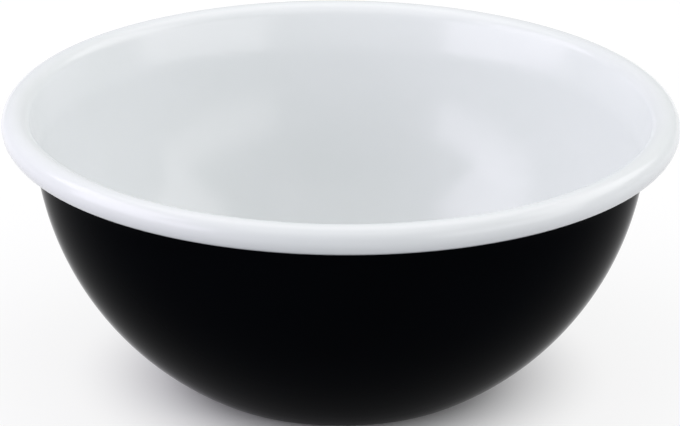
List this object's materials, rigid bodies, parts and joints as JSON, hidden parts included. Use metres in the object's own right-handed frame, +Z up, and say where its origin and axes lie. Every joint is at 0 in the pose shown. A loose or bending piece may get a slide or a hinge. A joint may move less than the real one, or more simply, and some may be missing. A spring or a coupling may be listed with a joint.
{
  "type": "enamel bowl",
  "caption": "Round deep mixing bowl of enamelled steel, white inside and black outside, with a thick white rolled rim and a small flat base, for holding, mixing and serving food.",
  "frame": {"origin": "centre of the standing face, on the bowl's axis", "axes": "+Z up along the bowl's axis; the bowl is round, so X and Y are free, and the picture looks along +Y"},
  "size_m": [0.24, 0.24, 0.1015],
  "materials": {
    "steel": "pickled sheet steel, fully coated",
    "ground_coat": "dark glassy bonding coat",
    "white_enamel": "glossy cool white",
    "black_enamel": "glossy black"
  },
  "bodies": {
    "root": {"steel_bowl": "steel", "inner_ground_coat": "ground_coat", "outer_ground_coat": "ground_coat", "white_enamel": "white_enamel", "black_enamel": "black_enamel"}
  },
  "joints": []
}
